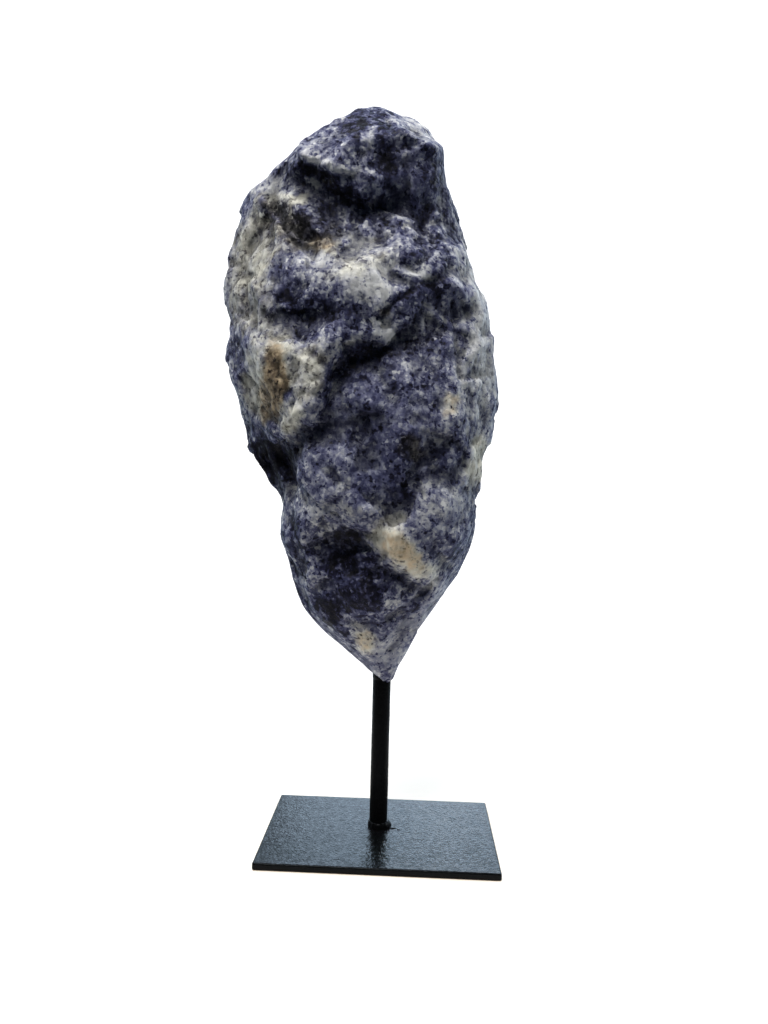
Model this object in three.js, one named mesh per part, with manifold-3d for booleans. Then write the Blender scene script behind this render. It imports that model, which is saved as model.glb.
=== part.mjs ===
// A rough chunk of sodalite held on a black steel stand.
// Millimetres, +Z up. The origin is the middle of the base plate's underside, and the stone's
// best face looks along -Y. The stone is drilled from below and stands on the post's end.
import * as THREE from "three";
import { mergeVertices } from "three/addons/utils/BufferGeometryUtils.js";
import Module from "manifold-3d";

const wasm = await Module();
wasm.setup();

// Stand: a rectangle of steel sheet with a round bar welded on near its middle.
const PLATE_WIDTH = 100;
const PLATE_DEPTH = 70;
const PLATE_THICKNESS = 3;
const PLATE_CORNER_RADIUS = 1;
const PLATE_EDGE_ROUNDING = 0.6;
const POST_RADIUS = 4;
const POST_X = -1;
const POST_Y = 5;
const POST_SIDES = 36;
const POST_DEPTH_IN_STONE = 35;
const WELD_HEIGHT = 2.4;
const WELD_REACH = 2;
const GLUE_MIDDLE = 71.8;
const GLUE_HEIGHT = 4.6;
const GLUE_SWELL = 0.6;
const GLUE_LEAN = 0.4;
const FIT_GAP = 0.3;

// Half sections of the two beads round the post, as shares of their reach and height.
const WELD_SECTION = [[0, 0], [1, 0], [0.66, 0.3], [0.3, 0.62], [0, 1]];
const GLUE_SECTION = [[0, -1], [0.7, -0.6], [1, 0], [0.7, 0.6], [0, 1]];

// Waves of the weld's reach round the post: their number and their swing.
const WELD_WAVES = [[1, 0.4], [4, 0.14], [9, 0.1]];

// Stone: four outlines as [height, offset] pairs from the peak down to the tip.
// The side edges give X, and the front and back edges give Y.
const STONE_PEAK = 312.5;
const STONE_TIP = 67.5;
const LEFT_EDGE = [
  [STONE_PEAK, -10], [310.5, -14], [307, -18], [302, -22.5], [295, -35.5], [287, -46], [281, -54.5],
  [276, -63.5], [268, -67], [252, -69.5], [241, -71.5], [230, -72], [219, -68], [209, -69.5],
  [203, -68.5], [194, -65], [183, -63], [172, -60.5], [164, -58], [156, -50], [148, -44],
  [141, -42.5], [135, -45], [129, -43], [118, -40.5], [108, -37], [98, -31.5], [91, -25],
  [83, -18], [77, -13], [72.5, -6.5], [70, -2.5], [STONE_TIP, 1],
];
const RIGHT_EDGE = [
  [STONE_PEAK, -10], [311, 0], [308.5, 6.5], [305, 11], [299, 18], [285, 18.5], [279, 20.5],
  [264, 27], [248, 32.5], [240.5, 33.5], [236, 37.5], [222, 41], [206, 44.5], [195, 46], [186, 44],
  [175, 44], [168, 40], [157, 36.5], [143, 36], [137, 38], [128, 32.5], [116, 27.5], [106, 22],
  [94, 14.5], [83, 9.5], [76, 5], [71.5, 3], [STONE_TIP, 1],
];
const FRONT_EDGE = [
  [STONE_PEAK, -12], [309, -20], [300, -28], [286, -34], [272, -34], [255, -36], [235, -38],
  [210, -39], [180, -39], [150, -37], [128, -32], [108, -24], [90, -13], [78, -7], [72, -4.5],
  [STONE_TIP, -2],
];
const BACK_EDGE = [
  [STONE_PEAK, -12], [310, 0], [300, 15], [284, 26], [258, 33], [225, 36], [190, 36], [155, 33],
  [128, 28], [106, 24], [88, 19.5], [78, 15], [73, 11], [70.5, 4], [STONE_TIP, -2],
];
const SECTION_POWER = 2.5;
const RELIEF_RISE = 0.7;

// The surface is a sphere of even triangles, shaken a little and spread from peak to tip.
const SPHERE_DETAIL = 19;
const SPHERE_SHAKE = 0.026;
const SPHERE_SEED = 7;
const SPREAD_POWER = 1.2;

// Ledges on the front, as [x, z] lines from left to right. The stone stands proud above
// each line and drops back below it, and both fade away from the line.
const LEDGE_EDGE = 1;
const LEDGES = [
  {
    line: [[-54, 285], [-42, 283], [-31, 277], [-21, 269], [-11, 266], [-4, 270]],
    proud: 4, drop: 6, fade: 12,
  },
  { line: [[-2, 270], [9, 268], [24, 274]], proud: 1, drop: 5, fade: 10 },
  { line: [[-58, 258], [-52, 268], [-45, 267], [-38, 262], [-31, 251]], proud: 2, drop: 4.5, fade: 9 },
  { line: [[-3, 240], [5, 238], [12, 243], [22, 235]], proud: 2.5, drop: 2, fade: 6 },
  { line: [[-6, 219], [4, 225], [13, 232], [25, 230]], proud: 2.5, drop: 3, fade: 8 },
  {
    line: [[-50, 169], [-42, 172], [-36, 177], [-27, 181], [-25, 195], [-19, 206], [-8, 209], [3, 215]],
    proud: 4, drop: 8, fade: 13,
  },
  { line: [[-1, 148], [7, 162], [15, 174], [24, 178]], proud: 1.5, drop: 3, fade: 7 },
  {
    line: [[-34, 133], [-21, 140], [-10, 141], [-2, 136], [9, 122], [15, 116]],
    proud: 2, drop: 5, fade: 9,
  },
  { line: [[-1, 88], [8, 98], [19, 111], [31, 121]], proud: 2.5, drop: 2.5, fade: 8 },
  { line: [[-24, 95], [-13, 88], [-5, 76], [1, 70.5], [4, 70]], proud: 0, drop: 5.5, fade: 12 },
];

// Swellings and hollows on the front: centre, reach across and up, turn and height.
const LUMPS = [
  { x: -20, z: 290, across: 10, up: 12, turn: 0, height: 2 },
  { x: 9, z: 285, across: 13, up: 13, turn: 0, height: 8 },
  { x: -5, z: 284, across: 4, up: 12, turn: 10, height: -3 },
  { x: -16, z: 234, across: 20, up: 12, turn: 20, height: 3 },
  { x: -36, z: 222, across: 9, up: 9, turn: 0, height: -4.5 },
  { x: -22, z: 219, across: 6, up: 5, turn: 0, height: -2.5 },
  { x: -46, z: 193, across: 9, up: 18, turn: 5, height: 2 },
  { x: 8, z: 182, across: 22, up: 24, turn: 20, height: 4 },
  { x: -22, z: 158, across: 18, up: 12, turn: -20, height: 2 },
  { x: -14, z: 128, across: 9, up: 10, turn: -20, height: -4 },
  { x: 8, z: 128, across: 6, up: 13, turn: 40, height: 4 },
  { x: -7, z: 110, across: 12, up: 8, turn: 0, height: 4 },
  { x: 26, z: 140, across: 12, up: 14, turn: 0, height: 2.5 },
  { x: 30, z: 203, across: 5, up: 6, turn: 0, height: -2.5 },
];

// Broad flat breaks: a point on the plane, the way it faces and how far it reaches.
// Those of the crown are cut last, through its ledges and swellings.
const BREAKS = [
  { at: [-36, -22, 293], facing: [-0.5, -0.5, 0.7], reach: 26 },
  { at: [33, -25, 240], facing: [0.75, -0.64, 0.16], reach: 34 },
  { at: [38, -20, 190], facing: [0.8, -0.6, -0.05], reach: 28 },
  { at: [17, -13, 98], facing: [0.66, -0.6, -0.45], reach: 26 },
  { at: [-58, -20, 245], facing: [-0.74, -0.67, 0.08], reach: 34 },
  { at: [-52, -16, 178], facing: [-0.72, -0.6, -0.35], reach: 26 },
  { at: [-26, -16, 102], facing: [-0.55, -0.66, -0.5], reach: 24 },
  { at: [-50, 18, 255], facing: [-0.62, 0.74, 0.26], reach: 45 },
  { at: [20, 26, 262], facing: [0.42, 0.84, 0.35], reach: 45 },
  { at: [-18, 24, 283], facing: [-0.2, 0.8, 0.57], reach: 35 },
  { at: [-12, 33, 205], facing: [-0.12, 0.99, -0.04], reach: 50 },
  { at: [32, 20, 185], facing: [0.74, 0.66, -0.1], reach: 45 },
  { at: [-42, 19, 155], facing: [-0.6, 0.72, -0.35], reach: 45 },
  { at: [4, 25, 126], facing: [0.14, 0.92, -0.36], reach: 24 },
];
const CROWN_BREAKS = [
  { at: [10, -30, 279], facing: [0.2, -0.97, -0.14], reach: 16 },
  { at: [10, -31.5, 288], facing: [0.42, -0.52, 0.74], reach: 22 },
];
const BREAK_RIM = 1.4;

// Small break faces all over, large ones first. Each is a tilted plane round a point
// picked at random, and the surface is drawn onto it by no more than the pull.
const FACE_SIZES = [
  { count: 75, tilt: 0.26, edge: 3, pull: 3.6, frontShare: 0.2, seed: 20 },
  { count: 420, tilt: 0.42, edge: 1.2, pull: 1.5, frontShare: 1, seed: 31 },
];
const SIDE_SHARE = 0.45;
const EGG_MIDDLE = new THREE.Vector3(-13, -2, 190);
const EGG_HALF = new THREE.Vector3(60, 40, 123);

const STONE_LOOK = { color: 0x4a4f70, roughness: 0.6, metalness: 0 };
const STEEL_LOOK = { color: 0x0b0c0e, roughness: 0.35, metalness: 0 };
const GLUE_LOOK = { color: 0x0a0a0a, roughness: 0.5, metalness: 0 };

// Repeatable random numbers from 0 to 1.
function randomFrom(seed) {
  let state = seed;
  return () => {
    state = (state + 0x6d2b79f5) | 0;
    let mixed = Math.imul(state ^ (state >>> 15), 1 | state);
    mixed = (mixed + Math.imul(mixed ^ (mixed >>> 7), 61 | mixed)) ^ mixed;
    return ((mixed ^ (mixed >>> 14)) >>> 0) / 2 ** 32;
  };
}

// A geometry with welded corners and nothing but positions.
function welded(geometry) {
  const bare = geometry.clone();
  bare.deleteAttribute("normal");
  bare.deleteAttribute("uv");
  return mergeVertices(bare);
}

function solidOf(geometry) {
  const closed = welded(geometry);
  return new wasm.Manifold(
    new wasm.Mesh({
      numProp: 3,
      vertProperties: new Float32Array(closed.attributes.position.array),
      triVerts: new Uint32Array(closed.index.array),
    }),
  );
}

function geometryOf(solid) {
  const { vertProperties, triVerts } = solid.getMesh();
  return new THREE.BufferGeometry()
    .setAttribute("position", new THREE.BufferAttribute(vertProperties, 3))
    .setIndex(new THREE.BufferAttribute(triVerts, 1));
}

function piece(name, geometry, look) {
  const mesh = new THREE.Mesh(geometry, new THREE.MeshStandardMaterial(look));
  mesh.name = name;
  return mesh;
}

// The offset of an outline at a height.
function along(outline, z) {
  const next = outline.findIndex(([height]) => height <= z);
  if (next <= 0) return outline[0][1];
  const [upperZ, upper] = outline[next - 1];
  const [lowerZ, lower] = outline[next];
  return THREE.MathUtils.mapLinear(z, upperZ, lowerZ, upper, lower);
}

// Signed distance from a point to a line of points, positive on its left.
function sideOf(line, x, z) {
  let nearest = Infinity;
  let side = 1;
  for (let i = 0; i + 1 < line.length; i++) {
    const [ax, az] = line[i];
    const runX = line[i + 1][0] - ax;
    const runZ = line[i + 1][1] - az;
    const share = ((x - ax) * runX + (z - az) * runZ) / (runX * runX + runZ * runZ);
    const t = THREE.MathUtils.clamp(share, 0, 1);
    const distance = Math.hypot(x - ax - t * runX, z - az - t * runZ);
    if (distance < nearest) {
      nearest = distance;
      side = Math.sign(runX * (z - az) - runZ * (x - ax)) || 1;
    }
  }
  return side * nearest;
}

// How far the front stands out at a place, from the ledges and the lumps.
function reliefAt(x, z) {
  let relief = 0;
  for (const { line, proud, drop, fade } of LEDGES) {
    const side = sideOf(line, x, z);
    const away = Math.abs(side);
    const shape = (1 - Math.exp(-away / LEDGE_EDGE)) * Math.exp(-away / fade);
    relief += side > 0 ? proud * shape : -drop * shape;
  }
  for (const { x: midX, z: midZ, across, up, turn, height } of LUMPS) {
    const angle = THREE.MathUtils.degToRad(turn);
    const u = ((x - midX) * Math.cos(angle) + (z - midZ) * Math.sin(angle)) / across;
    const v = ((z - midZ) * Math.cos(angle) - (x - midX) * Math.sin(angle)) / up;
    relief += height * Math.exp(-(u * u + v * v));
  }
  return relief;
}

// Cuts a point back to the planes of the breaks within whose reach it lies.
function breakOff(point, breaks) {
  for (const { at, facing, reach } of breaks) {
    const normal = new THREE.Vector3(...facing).normalize();
    const away = point.clone().sub(new THREE.Vector3(...at));
    const share = 1 - THREE.MathUtils.smoothstep(away.length(), reach, BREAK_RIM * reach);
    point.addScaledVector(normal, -share * Math.max(0, away.dot(normal)));
  }
}

// A point of the stone's outside before its small break faces.
function stonePoint(angle, z) {
  const left = along(LEFT_EDGE, z);
  const right = along(RIGHT_EDGE, z);
  const front = along(FRONT_EDGE, z);
  const back = along(BACK_EDGE, z);
  const c = Math.cos(angle);
  const s = Math.sin(angle);
  const reach = (Math.abs(c) ** SECTION_POWER + Math.abs(s) ** SECTION_POWER) ** (-1 / SECTION_POWER);
  const x = (left + right) / 2 + ((right - left) / 2) * c * reach;
  const y = (front + back) / 2 + ((back - front) / 2) * s * reach;
  const point = new THREE.Vector3(x, y, z);
  breakOff(point, BREAKS);
  point.y -= reliefAt(point.x, point.z) * THREE.MathUtils.smoothstep(-s * reach, 0, RELIEF_RISE);
  breakOff(point, CROWN_BREAKS);
  return point;
}

// The way out of the stone at a point, as if the stone were a smooth egg.
function wayOut(point) {
  return point.clone().sub(EGG_MIDDLE).divide(EGG_HALF).divide(EGG_HALF).normalize();
}

// Draws every point of a closed surface onto the plane of its nearest break face. The
// sides move less, so that the outline keeps its shape, and the front by its own share.
function breakIntoFaces(geometry, { count, tilt, edge, pull, frontShare, seed }) {
  const random = randomFrom(seed);
  geometry.computeVertexNormals();
  const { position, normal } = geometry.attributes;
  const faces = Array.from({ length: count }, () => {
    const pick = Math.floor(random() * position.count);
    const lean = new THREE.Vector3(random() - 0.5, random() - 0.5, random() - 0.5);
    const facing = new THREE.Vector3().fromBufferAttribute(normal, pick);
    facing.addScaledVector(lean, 2 * tilt).normalize();
    return { at: new THREE.Vector3().fromBufferAttribute(position, pick), facing };
  });
  for (let i = 0; i < position.count; i++) {
    const point = new THREE.Vector3().fromBufferAttribute(position, i);
    const away = faces.map(({ at }) => at.distanceTo(point));
    const first = away.indexOf(Math.min(...away));
    const nearest = away[first];
    away[first] = Infinity;
    const second = away.indexOf(Math.min(...away));
    const share = Math.min(1, 0.5 + (away[second] - nearest) / (2 * edge));
    const lifts = [first, second].map((f) => faces[f].at.clone().sub(point).dot(faces[f].facing));
    const lift = THREE.MathUtils.lerp(lifts[1], lifts[0], share);
    const out = wayOut(point);
    const weight = THREE.MathUtils.lerp(SIDE_SHARE, out.y < 0 ? frontShare : 1, Math.abs(out.y));
    point.addScaledVector(out, weight * pull * Math.tanh(lift / pull));
    position.setXYZ(i, point.x, point.y, point.z);
  }
  geometry.deleteAttribute("normal");
  return geometry;
}

// The undrilled stone.
function roughStone() {
  const random = randomFrom(SPHERE_SEED);
  const surface = welded(new THREE.IcosahedronGeometry(1, SPHERE_DETAIL));
  const { position } = surface.attributes;
  for (let i = 0; i < position.count; i++) {
    const shake = new THREE.Vector3(random() - 0.5, random() - 0.5, random() - 0.5);
    const spot = new THREE.Vector3().fromBufferAttribute(position, i);
    spot.addScaledVector(shake, SPHERE_SHAKE).normalize();
    const share = Math.acos(spot.z) / Math.PI;
    const z = THREE.MathUtils.lerp(STONE_PEAK, STONE_TIP, share ** SPREAD_POWER);
    const point = stonePoint(Math.atan2(spot.y, spot.x), z);
    position.setXYZ(i, point.x, point.y, point.z);
  }
  return FACE_SIZES.reduce(breakIntoFaces, surface);
}

function upright(geometry) {
  return geometry.rotateX(Math.PI / 2);
}

// A bar round the post's axis between two heights.
function bar(radius, bottom, top) {
  return upright(new THREE.CylinderGeometry(radius, radius, top - bottom, POST_SIDES))
    .translate(POST_X, POST_Y, (bottom + top) / 2);
}

// A bead round the post from a half section in shares of its reach and its height.
function bead(section, middle, reach, height) {
  const points = [...section, section[0]].map(
    ([out, up]) => new THREE.Vector2(POST_RADIUS + out * reach, middle + up * height),
  );
  return upright(new THREE.LatheGeometry(points, POST_SIDES)).translate(POST_X, POST_Y, 0);
}

// Pushes a bead's outside in and out by the angle round the post, as if laid by hand.
function uneven(geometry, swell) {
  const { position } = geometry.attributes;
  for (let i = 0; i < position.count; i++) {
    const x = position.getX(i) - POST_X;
    const y = position.getY(i) - POST_Y;
    const radius = Math.hypot(x, y);
    const grown = POST_RADIUS + (radius - POST_RADIUS) * swell(Math.atan2(y, x));
    position.setX(i, POST_X + (x / radius) * grown);
    position.setY(i, POST_Y + (y / radius) * grown);
  }
  return geometry;
}

function basePlate() {
  const x = PLATE_WIDTH / 2;
  const y = PLATE_DEPTH / 2;
  const r = PLATE_CORNER_RADIUS;
  const outline = new THREE.Shape()
    .moveTo(r - x, -y)
    .lineTo(x - r, -y)
    .absarc(x - r, r - y, r, -Math.PI / 2, 0)
    .lineTo(x, y - r)
    .absarc(x - r, y - r, r, 0, Math.PI / 2)
    .lineTo(r - x, y)
    .absarc(r - x, y - r, r, Math.PI / 2, Math.PI)
    .lineTo(-x, r - y)
    .absarc(r - x, r - y, r, Math.PI, 1.5 * Math.PI);
  return new THREE.ExtrudeGeometry(outline, {
    depth: PLATE_THICKNESS - 2 * PLATE_EDGE_ROUNDING,
    bevelThickness: PLATE_EDGE_ROUNDING,
    bevelSize: PLATE_EDGE_ROUNDING,
    bevelOffset: -PLATE_EDGE_ROUNDING,
    bevelSegments: 2,
    curveSegments: 4,
  }).translate(0, 0, PLATE_EDGE_ROUNDING);
}

function weldBead() {
  const plain = bead(WELD_SECTION, PLATE_THICKNESS, WELD_REACH, WELD_HEIGHT);
  return uneven(plain, (angle) =>
    WELD_WAVES.reduce((swell, [waves, swing]) => swell + swing * Math.cos(waves * angle), 1),
  );
}

// The dark bead where the post enters the stone, or the room it needs if given a gap.
// It has sagged to the right, so it stands out more there.
function glueBead(gap) {
  const plain = bead(GLUE_SECTION, GLUE_MIDDLE, 1, GLUE_HEIGHT / 2 + gap);
  return uneven(plain, (angle) => GLUE_SWELL + GLUE_LEAN * Math.cos(angle) + gap);
}

function stone() {
  const end = STONE_TIP + POST_DEPTH_IN_STONE + FIT_GAP;
  const drilled = solidOf(roughStone())
    .subtract(solidOf(bar(POST_RADIUS + FIT_GAP, PLATE_THICKNESS, end)))
    .subtract(solidOf(glueBead(FIT_GAP)));
  return geometryOf(drilled);
}

const sodaliteOnStand = new THREE.Group();
sodaliteOnStand.add(
  piece("base_plate", basePlate(), STEEL_LOOK),
  piece("weld_bead", weldBead(), STEEL_LOOK),
  piece("post", bar(POST_RADIUS, PLATE_THICKNESS, STONE_TIP + POST_DEPTH_IN_STONE), STEEL_LOOK),
  piece("glue_bead", glueBead(0), GLUE_LOOK),
  piece("stone", stone(), STONE_LOOK),
);

export default sodaliteOnStand;
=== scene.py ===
"""Looks for a rough sodalite chunk on a black steel stand, in metres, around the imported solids."""
import math

import bmesh
import bpy
import numpy as np
from mathutils import Matrix, Vector, kdtree, noise


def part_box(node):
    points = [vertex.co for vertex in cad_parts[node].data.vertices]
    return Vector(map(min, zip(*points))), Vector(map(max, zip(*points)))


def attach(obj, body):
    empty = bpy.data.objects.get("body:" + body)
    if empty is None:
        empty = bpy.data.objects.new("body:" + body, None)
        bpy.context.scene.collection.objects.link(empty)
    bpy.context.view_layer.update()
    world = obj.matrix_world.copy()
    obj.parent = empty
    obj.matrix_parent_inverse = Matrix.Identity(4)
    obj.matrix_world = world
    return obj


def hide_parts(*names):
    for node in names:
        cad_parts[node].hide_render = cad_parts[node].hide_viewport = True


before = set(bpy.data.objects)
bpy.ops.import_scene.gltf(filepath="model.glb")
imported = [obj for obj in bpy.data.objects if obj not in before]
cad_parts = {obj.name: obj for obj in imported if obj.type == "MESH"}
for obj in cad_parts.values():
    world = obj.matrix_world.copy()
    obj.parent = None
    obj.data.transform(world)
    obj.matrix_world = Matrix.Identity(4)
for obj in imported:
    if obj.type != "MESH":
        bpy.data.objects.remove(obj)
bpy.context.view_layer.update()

MM = 0.001

# Camera: place in millimetres, then its turns in degrees and its lens as read from the photograph.
CAMERA_PLACE = (10.3, -336.3, 154.4)
CAMERA_YAW = -2.06
CAMERA_PITCH = 1.77
CAMERA_ROLL = 1.48
CAMERA_LENS = 27.04
CAMERA_SENSOR = 36.0

# Stone surface: cuts per edge of the solid, easing and the sizes of its broken faces, in millimetres.
STONE_CUTS = 3
STONE_EASING = 5
STONE_SEED = 11
STONE_FACES = [
    {"count": 260, "tilt": 0.2, "edge": 0.5, "pull": 1.4},
    {"count": 1500, "tilt": 0.22, "edge": 0.4, "pull": 0.45},
    {"count": 7000, "tilt": 0.25, "edge": 0.4, "pull": 0.14},
]
ROUGH_SIZE = 22.0
ROUGH_OCTAVES = 2
ROUGH_EDGE = (-0.3, 0.4)
ROUGH_LEAST = 0.3
TIP_HEIGHTS = (90.0, 125.0)
TIP_ROUGH = 0.3
PIT_SIZE = 6.0
PIT_EDGE = (0.1, 0.9)
PIT_DEPTH = 0.25
MERGE_DISTANCE = 0.001

# Noises: how each octave falls off and gets finer, and how many there are.
NOISE_FALL = 0.8
NOISE_STEP = 2.0
NOISE_OCTAVES = 3

# The post's axis, and the radii between which the stone leaves its drilled shape, up to a height.
POST_AXIS = (-1.0, 5.0)
POST_ROOM = (4.5, 6.0)
POST_ROOM_TOP = 104.0

# Fine ledges on the stone's front, as x and z on the front plane: the stone stands proud on the
# left of each line and drops back on its right, and both fade away from it.
LEDGE_EDGE = 0.5
LINE_END = 1.5
LEDGES = [
    {"line": [(1, 239), (6, 236.5), (11, 236), (17, 238), (21, 241)],
     "proud": 1.3, "drop": 1.3, "fade": 4},
    {"line": [(3, 244), (7, 243), (12, 244.5)],
     "proud": 0.8, "drop": 0.8, "fade": 3},
    {"line": [(-27, 205), (-22, 210), (-14, 212.5), (-8, 213), (-3, 211)],
     "proud": 1.0, "drop": 2.0, "fade": 5},
    {"line": [(-32, 244), (-40, 250), (-45, 258), (-51, 267)],
     "proud": 0.8, "drop": 1.6, "fade": 6},
    {"line": [(-38, 284), (-31, 280), (-25, 277.5), (-17, 277)],
     "proud": 1.0, "drop": 1.5, "fade": 4},
    {"line": [(-36, 275), (-32, 272.5), (-27, 269.5)],
     "proud": 0.8, "drop": 1.2, "fade": 3},
    {"line": [(-2, 297), (4, 292), (12, 288), (17, 283)],
     "proud": 0.6, "drop": 1.4, "fade": 8},
]

# Grooves on the stone's front: a line, its half width and its depth.
GROOVES = [
    {"line": [(9, 233), (2, 228), (-5, 221)], "wide": 1.1, "depth": 1.3},
    {"line": [(2, 102), (12, 110), (22, 119)], "wide": 1.2, "depth": 1.3},
    {"line": [(24, 228), (26, 212), (28, 198)], "wide": 0.9, "depth": 0.8},
]

# What each kind of patch adds: paleness, warmth, rust and how far it calms the mottles.
KINDS = {
    "white": (0.45, 0.25, 0.0, 0.25),
    "cream": (0.36, 0.8, 0.0, 0.4),
    "ash": (0.17, 0.75, 0.0, 0.65),
    "tan": (0.46, 1.0, 0.6, 0.35),
    "rust": (0.0, 1.0, 0.85, 0.4),
    "soot": (-0.18, 0.75, 0.2, 0.0),
    "grey": (0.22, 0.55, 0.0, 0.2),
    "veil": (0.2, 0.3, 0.0, 0.6),
    "pale": (0.28, 0.0, 0.0, 0.3),
    "dark": (-0.3, 0.0, 0.0, 0.0),
    "slate": (0.0, 0.0, 0.0, 0.5),
}

# Patches of colour as they are seen from the front on a plane through the stone's near side:
# kind, x and z of the middle, half width and half height, turn in degrees and strength.
FRONT_PLANE = -32.0
PATCHES = [
    # Wide zones under the smaller patches
    ("ash", -56, 238, 11, 32, -8, 1.0),
    ("ash", -42, 198, 16, 18, 0, 0.7),
    ("slate", -6, 174, 28, 26, 0, 0.9),
    ("grey", -16, 243, 24, 13, -8, 1.0),
    ("pale", 33, 215, 9, 45, 4, 0.7),
    ("pale", -24, 146, 18, 10, 0, 0.35),
    ("pale", 20, 148, 15, 18, 0, 0.6),
    # Crown and brow
    ("dark", -14, 298, 14, 7, 0, 0.5),
    ("dark", -16, 295, 4.5, 5, 0, 0.6),
    ("pale", -9, 291, 2.5, 7, 8, 1.1),
    # Partly white stone, partly a painted highlight on the crown's chipped edge.
    ("white", -33, 286, 4, 3, -50, 1.0),
    ("white", -23, 280, 8, 2, -20, 1.1),
    # Partly white stone, partly a painted highlight on the edge just under the brow.
    ("white", -31.5, 273.5, 4.5, 1.5, -35, 1.2),
    ("pale", -25, 289, 6, 5, -10, 0.4),
    # Painted shadow under the brow's overhang, over dark stone: this dark patch and the two below it.
    ("dark", -16, 269, 11, 4, -12, 1.1),
    ("dark", -37, 278, 6, 3.5, -20, 1.0),
    ("dark", -27, 275, 8, 3, -30, 0.8),
    ("dark", -4, 284, 4.5, 12, 8, 0.9),
    ("slate", 8, 274, 10, 12, 0, 1.0),
    ("dark", 16, 277, 4, 8, 0, 0.7),
    # Partly pale stone, partly painted light on the top facet that faces up towards the light.
    ("pale", 9, 295, 11, 4, -28, 1.2),
    ("cream", -7.5, 267, 2.5, 2, 0, 0.8),
    # Shoulder and left flank
    ("pale", -48, 272, 8, 5, 20, 0.9),
    ("cream", -40, 268, 9, 3, -5, 1.0),
    ("soot", -44, 259, 12, 8, -40, 1.5),
    ("soot", -36, 252, 12, 8, -40, 0.9),
    ("soot", -24, 255, 11, 6, 0, 0.5),
    ("rust", -27, 250, 7, 3.5, 0, 0.6),
    ("cream", -57, 245, 6, 20, -10, 0.3),
    ("cream", -47, 216, 10, 10, 0, 0.5),
    ("tan", -50, 241, 3.5, 9, -30, 0.35),
    ("dark", -61, 209, 4, 6, 0, 0.7),
    # Centre
    ("pale", -14, 252, 9, 6, 30, 0.6),
    ("dark", -5, 259, 3, 3, 0, 0.9),
    ("dark", -12, 261, 3, 2.5, 0, 0.6),
    ("dark", 12, 261, 6, 4, 0, 0.7),
    ("white", -10, 233, 9, 7, -10, 1.0),
    ("cream", -14, 241, 7, 5, 0, 0.5),
    ("pale", -33, 243, 8, 3.5, 0, 0.9),
    ("white", 11, 237, 7, 2, 0, 1.0),
    ("dark", 7, 243.5, 4, 1.3, 10, 1.0),
    ("dark", 15, 233, 7, 3, -20, 0.9),
    ("dark", 3, 229, 8, 1.6, 40, 1.0),
    ("dark", -41, 228, 4, 5, 0, 1.1),
    ("dark", -33, 224, 5, 5, 20, 1.1),
    ("dark", -20, 223, 2.5, 2.5, 0, 1.0),
    ("dark", -34, 213, 4, 3, 30, 1.0),
    ("dark", -29, 205, 2.5, 2.5, 0, 0.9),
    ("white", -1.5, 217, 4.5, 5.5, 10, 1.0),
    ("soot", -3, 224, 4, 2, 30, 0.9),
    # Partly white stone, partly a painted highlight along the shelf's edge.
    ("white", -16, 212, 7, 1.8, 8, 1.1),
    # Painted shadow under the shelf, over dark stone: this dark patch and the two below it.
    ("dark", -13, 204, 9, 5.5, 20, 1.4),
    ("dark", -24, 195, 3, 7, -15, 1.0),
    ("dark", -4, 208, 7, 3, 0, 0.8),
    # Left below the middle
    ("cream", -31, 198, 7, 14, -12, 0.9),
    ("cream", -38, 180, 4.5, 9, -10, 1.0),
    ("cream", -40, 203, 5, 10, 0, 0.6),
    ("cream", -54, 194, 5, 15, 5, 0.9),
    ("rust", -46, 194, 5, 18, -4, 1.2),
    ("dark", -38.5, 190, 2.5, 4, 0, 0.9),
    # Dark blue stone, painted darker for the shade on this side, which faces left and down.
    ("dark", -47, 164, 10, 11, 0, 1.6),
    # Right flank and middle
    ("pale", 37, 213, 5, 32, 5, 1.0),
    ("pale", 30, 246, 4, 15, 10, 0.8),
    ("pale", 9, 203, 5, 4, 0, 0.9),
    ("pale", 30, 199, 4, 6, 20, 0.9),
    ("tan", 24, 188, 5, 6, 0, 0.8),
    ("cream", 36, 166, 4.5, 11, -8, 1.2),
    ("tan", 36, 172, 2.5, 4, 0, 0.5),
    ("pale", 2, 186, 20, 9, 0, 0.2),
    ("pale", -18, 167, 3, 6, 15, 0.6),
    ("pale", -26, 163, 12, 10, 0, 0.25),
    ("dark", -12, 174, 6, 6, 0, 0.5),
    ("soot", 10, 170, 6, 7, 20, 0.9),
    ("dark", 5, 155, 6, 6, 0, 0.9),
    ("pale", 24, 150, 8, 8, 0, 0.35),
    # Lower part and tip
    ("pale", -25, 143, 9, 6, 0, 0.5),
    ("cream", -13, 146, 4, 3.5, 0, 0.6),
    ("grey", 5, 143, 6, 3.5, 0, 1.1),
    ("dark", -14, 132, 9, 6, 40, 1.1),
    ("dark", -17, 124, 9, 5, 0, 0.9),
    ("cream", 16, 121, 8, 5, -35, 0.8),
    ("cream", -1, 137, 7, 6, -20, 1.0),
    ("tan", 7.5, 129.5, 12, 7, -40, 1.1),
    ("dark", 24, 133, 4, 5, 0, 0.6),
    ("dark", -11, 111, 11, 8, 0, 1.15),
    ("soot", -10, 113, 13, 9, 0, 0.4),
    ("dark", -24, 106, 8, 5, -25, 1.2),
    ("pale", 4, 111, 4, 4, 0, 0.9),
    ("pale", -27, 115, 2.5, 4, 0, 0.8),
    ("veil", 14, 104, 18, 6.5, 52, 1.0),
    ("veil", 2, 86, 7, 8, 0, 1.0),
    ("tan", -6.5, 93, 5, 6, -30, 0.8),
    ("dark", 11, 107, 9, 1.2, 42, 1.1),
    ("dark", -36, 134, 4, 9, 0, 0.7),
]
PLAIN_PALENESS = 0.53
PATCH_EDGE = (1.5, 0.35)

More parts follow.
